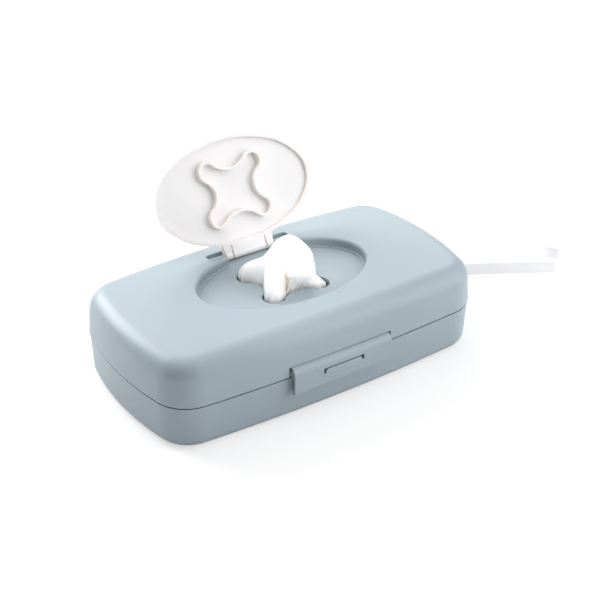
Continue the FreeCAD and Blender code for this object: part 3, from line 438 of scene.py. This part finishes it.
# The pulled-up wipe. WIPE_BODY is the reach of its body from the middle, in millimetres, at each
# of WIPE_HEIGHTS above the well's floor. Each fold has its compass angle and half its width, in
# degrees, low down and high up, and its reach at the same heights.
WIPE_FLOOR = 45.5
WIPE_HEIGHTS = (-8.0, -2.0, 0.0, 1.0, 2.5, 4.0, 7.0, 9.0, 12.0, 16.5, 19.5, 22.0, 24.0, 25.4, 26.0)
WIPE_BODY = (10.0, 12.0, 12.2, 12.3, 12.4, 12.4, 12.3, 12.2, 11.8, 10.4, 8.8, 7.0, 5.0, 2.7, 0.0)
WIPE_FOLDS = {
    "rear_right": (
        (42, 40),
        (19, 28),
        (19.0, 23.0, 23.2, 22.6, 21.0, 19.5, 17.2, 15.8, 13.8, 11.2, 9.0, 7.0, 5.0, 2.7, 0.0),
    ),
    "rear_left": (
        (139, 141),
        (17, 15),
        (19.0, 23.6, 24.0, 24.0, 24.0, 24.0, 22.8, 20.0, 13.4, 10.4, 8.8, 7.0, 5.0, 2.7, 0.0),
    ),
    "front_left": (
        (222, 214),
        (19, 27),
        (19.0, 23.6, 23.8, 23.7, 23.4, 22.9, 21.4, 20.2, 17.8, 13.8, 11.0, 8.2, 5.6, 2.9, 0.0),
    ),
    "front_right": (
        (317, 300),
        (18, 46),
        (19.0, 23.2, 23.2, 22.0, 18.6, 17.2, 16.2, 15.7, 14.6, 12.6, 10.6, 8.2, 5.6, 2.9, 0.0),
    ),
}
WIPE_SEGMENTS = 320
WIPE_ROWS = 96
WIPE_DRIFT = (2.6, -1.7)  # how far the wipe's body leans, in millimetres along X and Y
ROW_CROWDING = 1.7  # above 1, the grid's rows lie closer together towards the tip
SLOT_ROOM = 0.35  # between the cloth and the slot's edge
CREASE_ANGLE = 246
CREASE_DEPTH = 4.2
GATHERS = 34
GATHER_DEPTH = 1.5
GATHER_TOP = 9  # height at which the gathers have run out
HEM_TOP = -2.2  # height under which the loose hem draws in


def straight(stops, place):
    """Interpolation along straight lines through (place, value) stops."""
    for (low, first), (high, second) in zip(stops, stops[1:]):
        if place <= high:
            share = min(1, max(0, (place - low) / (high - low)))
            return first + (second - first) * share
    return stops[-1][1]


def rounded(values, height):
    """Interpolation of values at WIPE_HEIGHTS, with its corners rounded off."""
    stops = list(zip(WIPE_HEIGHTS, values))
    return sum(straight(stops, height + step) for step in (-0.8, 0, 0.8)) / 3


def apart(angle, middle):
    """How far two compass angles lie apart, in degrees."""
    return abs((angle - middle + 180) % 360 - 180)


def slot_reach(angle):
    """How far the slot's edge lies from its middle, in millimetres, at a compass angle."""
    turn = angle % 180
    turn = min(turn, 180 - turn)
    if turn < 23.4:
        offset, middle, radius, side = turn, 21.89, 8.69, -1
    elif turn > 59.9:
        offset, middle, radius, side = 90 - turn, 25.69, 12.89, -1
    else:
        offset, middle, radius, side = turn - 42.2, 18.62, 6.2, 1
    offset = math.radians(offset)
    across = radius**2 - (middle * math.sin(offset)) ** 2
    return middle * math.cos(offset) + side * math.sqrt(max(0, across))


def wipe_reach(angle, height):
    """How far the wipe reaches from its middle, in millimetres, at a compass angle in degrees."""
    body = rounded(WIPE_BODY, height)
    up = min(1, max(0, height / 10))
    reach = body
    for angles, widths, reaches in WIPE_FOLDS.values():
        out = rounded(reaches, height) - body
        fold_angle = angles[0] + (angles[1] - angles[0]) * up
        width = widths[0] + (widths[1] - widths[0]) * up
        reach += out * math.exp(-((apart(angle, fold_angle) / width) ** 3))
    return reach


def crease_depth(angle, height):
    """From 0 to 1 down in the crease between the two front panels."""
    middle = CREASE_ANGLE - 1.3 * min(10, max(0, height))
    width = 5 + 6 * math.exp(-(((height - 6.5) / 3) ** 2))
    fade = min(1, max(0, height + 1) / 3) * min(1, max(0, 21 - height) / 12)
    return fade * math.exp(-((apart(angle, middle) / width) ** 2))


def wrinkled(angle, height, around, deep):
    """The cloth's reach with its wrinkles and its crease, kept inside the slot's edge."""
    reach = wipe_reach(angle, height)
    slack = min(1, reach / 12)
    rise = Vector((0, 0, height * 0.05))
    soft = noise.noise(around * 2.2 + rise)
    fine = noise.noise(around * 6.0 + rise + Vector((3.1, 1.7, 0)))
    reach += slack * (0.6 * soft + 0.3 * fine) * min(1, max(0.2, height / 6))
    reach -= CREASE_DEPTH * deep * slack
    return min(reach, slot_reach(angle) - SLOT_ROOM + 3 * max(0, height - 0.4))


def gathered(turn, height, around, hem):
    """How far the gathers and the hem's waves draw the cloth in, in millimetres."""
    waves = noise.noise(around * 3.4 + Vector((7.3, 0, height * 0.06)))
    gather = min(1, max(0, GATHER_TOP - height) / GATHER_TOP)
    wander = 2.5 * noise.noise(around * 1.9 + Vector((0, 0, height * 0.03)))
    fold = 0.5 - 0.5 * math.cos(turn * GATHERS + wander)
    return hem * (1.6 + 3.4 * waves) + GATHER_DEPTH * gather * fold


def pulled_wipe():
    """The wipe's cloth: a grid wrapped round the middle of the slot and drawn up to a tip."""
    bm = bmesh.new()
    bmesh.ops.create_grid(bm, x_segments=WIPE_SEGMENTS, y_segments=WIPE_ROWS, size=1)
    crease = bm.verts.layers.float.new("crease")
    lowest, highest = WIPE_HEIGHTS[0], WIPE_HEIGHTS[-1]
    for vert in bm.verts:
        angle = (vert.co.x + 1) * 180
        share = (vert.co.y + 1) / 2
        height = lowest + (highest - lowest) * (1 - (1 - share) ** ROW_CROWDING)
        turn = math.radians(angle)
        around = Vector((math.cos(turn), math.sin(turn), 0))
        deep = crease_depth(angle, height)
        hem = min(1, max(0, HEM_TOP - height) / (HEM_TOP - lowest))
        reach = wrinkled(angle, height, around, deep) - gathered(turn, height, around, hem)
        if share > 1 - 1e-6:
            reach = 0
        lean = min(1, max(0, height) / 16)
        lift = 0.5 * noise.noise(around * reach * 0.2) * min(1, max(0, height - 12) / 10)
        lift += hem * (1.1 + 1.4 * noise.noise(around * 2.3 + Vector((0, 4.9, 0))))
        vert.co = (
            (WIPE_DRIFT[0] * lean + around.x * reach) * MM,
            (WIPE_DRIFT[1] * lean + around.y * reach) * MM,
            (WIPE_FLOOR + height + lift) * MM,
        )
        # The crease layer holds painted warm shade: full down in the crease, and 0.6 on the cloth
        # under the slot, where the box's inside lies in shade.
        vert[crease] = min(1, 1.4 * deep) if height > -1 else 0.6
    bmesh.ops.remove_doubles(bm, verts=bm.verts, dist=1e-6)
    bmesh.ops.recalc_face_normals(bm, faces=bm.faces)
    return bm


def edges_along(bm, axis):
    """The straight edges of a block that run along an axis."""
    return [
        edge
        for edge in bm.edges
        if abs((edge.verts[0].co - edge.verts[1].co).normalized()[axis]) > 0.999
    ]


def block(bm, low, high):
    """Adds a block between two corners and gives its vertices."""
    low, high = Vector(low), Vector(high)
    matrix = Matrix.Translation((low + high) / 2) @ Matrix.Diagonal((*(high - low), 1))
    return bmesh.ops.create_cube(bm, size=1, matrix=matrix)["verts"]


STACK_LOW = (-88.0, -44.0, 2.5)
STACK_HIGH = (88.0, 44.0, 35.5)
LAYER_CORNER = 9  # radius of the folded wipes' corners, in millimetres


def folded_wipes(layers):
    """A stack of folded wipes with round corners, each a little out of line with the next."""
    draw = random.Random(7)
    whole = bmesh.new()
    rise = (STACK_HIGH[2] - STACK_LOW[2]) / layers
    for i in range(layers):
        bm = bmesh.new()
        drawn_in = 0.9 + 0.5 * draw.random() + (1.6 if i == layers - 1 else 0)
        shift = Vector((draw.uniform(-0.5, 0.5), draw.uniform(-0.4, 0.4), 0))
        low = Vector((STACK_LOW[0] + drawn_in, STACK_LOW[1] + drawn_in, STACK_LOW[2] + rise * i))
        high = Vector(
            (STACK_HIGH[0] - drawn_in, STACK_HIGH[1] - drawn_in, STACK_LOW[2] + rise * (i + 0.97))
        )
        block(bm, (low + shift) * MM, (high + shift) * MM)
        bmesh.ops.bevel(
            bm,
            geom=edges_along(bm, 2),
            offset=LAYER_CORNER * MM,
            segments=8,
            profile=0.5,
            affect="EDGES",
        )
        level = [
            edge
            for edge in bm.edges
            if abs(edge.verts[0].co.z - edge.verts[1].co.z) < 0.01 * MM
        ]
        bmesh.ops.bevel(
            bm, geom=level, offset=rise * 0.42 * MM, segments=3, profile=0.5, affect="EDGES"
        )
        layer = bpy.data.meshes.new("layer")
        bm.to_mesh(layer)
        bm.free()
        whole.from_mesh(layer)
        bpy.data.meshes.remove(layer)
    return whole


# The raised pad's outline in the latch's window, as X and Z in millimetres: its foot runs under
# the window's ends, and its upper part leaves them open.
PAD_OUTLINE = (
    (-12.9, 20.1),
    (12.9, 20.1),
    (12.9, 22.2),
    (11.2, 22.2),
    (11.2, 24.25),
    (-11.2, 24.25),
    (-11.2, 22.2),
    (-12.9, 22.2),
)
PAD_FRONT = -56.45
PAD_DEPTH = 1.55


def latch_pad():
    """The raised pad in the latch's window, with its upper corners rounded off."""
    bm = bmesh.new()
    corners = [bm.verts.new(Vector((x, PAD_FRONT, z)) * MM) for x, z in PAD_OUTLINE]
    front = bm.faces.new(corners)
    walls = bmesh.ops.extrude_face_region(bm, geom=[front])["geom"]
    back = [part for part in walls if isinstance(part, bmesh.types.BMVert)]
    bmesh.ops.translate(bm, verts=back, vec=(0, PAD_DEPTH * MM, 0))
    bmesh.ops.recalc_face_normals(bm, faces=bm.faces)
    upper = [
        edge
        for edge in edges_along(bm, 1)
        if edge.verts[0].co.z > (PAD_OUTLINE[4][1] - 0.01) * MM
    ]
    bmesh.ops.bevel(
        bm, geom=upper, offset=1.2 * MM, segments=6, profile=0.5, affect="EDGES", material=-1
    )
    rim = [
        edge
        for edge in bm.edges
        if max(vert.co.y for vert in edge.verts) < (PAD_FRONT + 0.05) * MM
    ]
    bmesh.ops.bevel(
        bm, geom=rim, offset=0.35 * MM, segments=4, profile=0.5, affect="EDGES", material=-1
    )
    return bm


# Operators


class WIPESBOX_OT_case(bpy.types.Operator):
    """Dress the cover, the tray and the latch in moulded plastic"""

    bl_idname = "wipes_box.case"
    bl_label = "Case"

    def execute(self, context):
        look = context.scene.wipes_box_case
        plastic = moulded_plastic("case_plastic", look.colour, look.roughness)
        for node in ("bottom_shell", "top_shell", "front_latch", "lid_hinge_rod"):
            dress(node, plastic)
        piece("latch_pad", latch_pad(), plastic, "latch")
        return {"FINISHED"}


class WIPESBOX_OT_lid(bpy.types.Operator):
    """Dress the lid and its star-shaped seal in white plastic"""

    bl_idname = "wipes_box.lid"
    bl_label = "Lid"

    def execute(self, context):
        look = context.scene.wipes_box_lid
        plastic = lid_plastic("lid_plastic", look.colour, look.painted_wall_light)
        for node in ("flip_lid", "slot_seal"):
            dress(node, plastic)
        return {"FINISHED"}


class WIPESBOX_OT_pins(bpy.types.Operator):
    """Dress the hinge pins in drawn steel"""

    bl_idname = "wipes_box.pins"
    bl_label = "Pins"

    def execute(self, context):
        wire = steel("pin_steel")
        for node in ("latch_pin", "rear_hinge_pins", "strap_pin"):
            dress(node, wire)
        return {"FINISHED"}


class WIPESBOX_OT_strap(bpy.types.Operator):
    """Dress the wrist strap in milky rubber"""

    bl_idname = "wipes_box.strap"
    bl_label = "Strap"

    def execute(self, context):
        dress("carry_strap", strap_rubber("strap_rubber", context.scene.wipes_box_strap.colour))
        return {"FINISHED"}


class WIPESBOX_OT_wipe(bpy.types.Operator):
    """Pull a wipe up through the slot"""

    bl_idname = "wipes_box.wipe"
    bl_label = "Pulled-up wipe"

    def execute(self, context):
        shape = context.scene.wipes_box_wipe
        # The beige is painted warm shade for the wipe's crease.
        cloth = soft_cloth(
            "wipe_cloth", shape.colour, (0.80, 0.75, 0.66, 1), pleats=shape.pleat_depth
        )
        wipe = piece("pulled_wipe", pulled_wipe(), cloth, "cover")
        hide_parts("popped_wipe")
        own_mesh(wipe)
        return {"FINISHED"}


class WIPESBOX_OT_stack(bpy.types.Operator):
    """Lay the folded wipes in the tray"""

    bl_idname = "wipes_box.stack"
    bl_label = "Folded wipes"

    def execute(self, context):
        shape = context.scene.wipes_box_stack
        cloth = soft_cloth("stack_cloth", context.scene.wipes_box_wipe.colour, (1, 1, 1, 1))
        stack = piece("folded_wipes", folded_wipes(shape.layers), cloth, "tray")
        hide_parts("wipe_stack")
        return {"FINISHED"}


# The camera's place and its axes, worked out from the photograph.
CAMERA_PLACE = (-0.33213, -0.49933, 0.39313)
CAMERA_RIGHT = Vector((0.82633, -0.56315, 0.00675))
CAMERA_DOWN = Vector((-0.28511, -0.42864, -0.85731))
CAMERA_FORWARD = Vector((0.48569, 0.70649, -0.51476))


CAMERA_LENS = 78.9
BOX_MIDDLE = (0, 0, 0.03)
FLOOR_HALF_WIDTH = 4
FLOOR_GLOW = 0.6  # share of plain white that the camera sees on the floor

# Soft lamps round the box, each with its place and its width, in metres.
LAMPS = (
    ("rear", (0.60, 0.87, 0.62), 0.9),
    ("rear_left", (-0.35, 1.0, 0.7), 0.8),
    ("top", (0.0, 0.0, 1.1), 1.3),
    ("left", (-1.0, 0.3, 0.4), 0.6),
    ("right", (0.85, -0.7, 0.5), 1.1),
    ("front", (-0.2, -0.9, 0.9), 0.7),
)


# Narrow spots behind the camera, each with its aim and its width in degrees.
SPOT_PLACE = (-0.42, -0.63, 0.49)
SPOTS = (
    ("wipe_spot", (-0.001, -0.008, 0.051), 4.8),
    ("lid_spot", (0.0, 0.044, 0.078), 7.4),
)


def hang(light, place, target):
    """Puts a light at a place in the scene and turns it towards a target."""
    lamp = bpy.data.objects.new(light.name, light)
    lamp.location = place
    aim = Vector(target) - lamp.location
    lamp.rotation_euler = aim.to_track_quat("-Z", "Y").to_euler()
    bpy.context.scene.collection.objects.link(lamp)


def area_lamp(name, power, place, width):
    """A soft square lamp, turned towards the middle of the box."""
    light = bpy.data.lights.new(name, "AREA")
    light.energy = power
    light.size = width
    hang(light, place, BOX_MIDDLE)


def narrow_spot(name, power, target, width):
    """A spot with a soft edge, from behind the camera, on one pale piece; width is in degrees."""
    light = bpy.data.lights.new(name, "SPOT")
    light.energy = power
    light.spot_size = math.radians(width)
    light.spot_blend = 0.6
    light.shadow_soft_size = 0.03
    hang(light, SPOT_PLACE, target)


class WIPESBOX_OT_stage(bpy.types.Operator):
    """Set up the camera, a plain white floor and soft light"""

    bl_idname = "wipes_box.stage"
    bl_label = "Stage"

    def execute(self, context):
        scene = context.scene
        look = scene.wipes_box_stage
        camera_data = bpy.data.cameras.new("photo_camera")
        camera_data.lens = CAMERA_LENS
        camera_data.sensor_width = 36
        camera = bpy.data.objects.new("photo_camera", camera_data)
        turn = Matrix((CAMERA_RIGHT, -CAMERA_DOWN, -CAMERA_FORWARD)).transposed().to_4x4()
        camera.matrix_world = Matrix.Translation(CAMERA_PLACE) @ turn
        scene.collection.objects.link(camera)
        scene.camera = camera

        world = bpy.data.worlds.new("sky")
        world.use_nodes = True
        backdrop = world.node_tree.nodes["Background"]
        backdrop.inputs["Strength"].default_value = look.sky
        backdrop.inputs["Color"].default_value = (1, 1, 1, 1)
        scene.world = world
        scene.view_settings.view_transform = "Standard"
        for power, (name, place, width) in zip(look.powers, LAMPS):
            area_lamp(name, power, place, width)
        for power, (name, target, width) in zip(look.spots, SPOTS):
            narrow_spot(name, power, target, width)

        bm = bmesh.new()
        bmesh.ops.create_grid(bm, x_segments=1, y_segments=1, size=FLOOR_HALF_WIDTH)
        mesh = bpy.data.meshes.new("floor")
        bm.to_mesh(mesh)
        bm.free()
        mesh.materials.append(bright_floor("floor_white", FLOOR_GLOW))
        floor = bpy.data.objects.new("floor", mesh)
        scene.collection.objects.link(floor)
        return {"FINISHED"}


class WIPESBOX_PT_panel(bpy.types.Panel):
    """Sizes, colours and steps of the wipes box"""

    bl_idname = "WIPESBOX_PT_panel"
    bl_label = "Wipes Box"
    bl_space_type = "VIEW_3D"
    bl_region_type = "UI"
    bl_category = "Wipes Box"

    def draw(self, context):
        for setting, operators in STEPS.items():
            box = self.layout.box()
            group = getattr(context.scene, setting)
            for name in group.__annotations__:
                box.prop(group, name)
            for operator in operators:
                box.operator(operator.bl_idname)


GROUPS = {
    "wipes_box_case": CaseFinish,
    "wipes_box_lid": LidFinish,
    "wipes_box_strap": StrapFinish,
    "wipes_box_wipe": WipeShape,
    "wipes_box_stack": StackShape,
    "wipes_box_stage": StageLook,
}
STEPS = {
    "wipes_box_case": [WIPESBOX_OT_case, WIPESBOX_OT_pins],
    "wipes_box_lid": [WIPESBOX_OT_lid],
    "wipes_box_strap": [WIPESBOX_OT_strap],
    "wipes_box_wipe": [WIPESBOX_OT_wipe],
    "wipes_box_stack": [WIPESBOX_OT_stack],
    "wipes_box_stage": [WIPESBOX_OT_stage],
}


def register():
    for group in GROUPS.values():
        bpy.utils.register_class(group)
    for operators in STEPS.values():
        for operator in operators:
            bpy.utils.register_class(operator)
    bpy.utils.register_class(WIPESBOX_PT_panel)
    for name, group in GROUPS.items():
        setattr(bpy.types.Scene, name, PointerProperty(type=group))


def unregister():
    for name in GROUPS:
        delattr(bpy.types.Scene, name)
    bpy.utils.unregister_class(WIPESBOX_PT_panel)
    for operators in STEPS.values():
        for operator in operators:
            bpy.utils.unregister_class(operator)
    for group in GROUPS.values():
        bpy.utils.unregister_class(group)


def main():
    register()
    bpy.ops.wipes_box.case()
    bpy.ops.wipes_box.pins()
    bpy.ops.wipes_box.lid()
    bpy.ops.wipes_box.strap()
    bpy.ops.wipes_box.wipe()
    bpy.ops.wipes_box.stack()
    bpy.ops.wipes_box.stage()


if __name__ == "__main__":
    main()
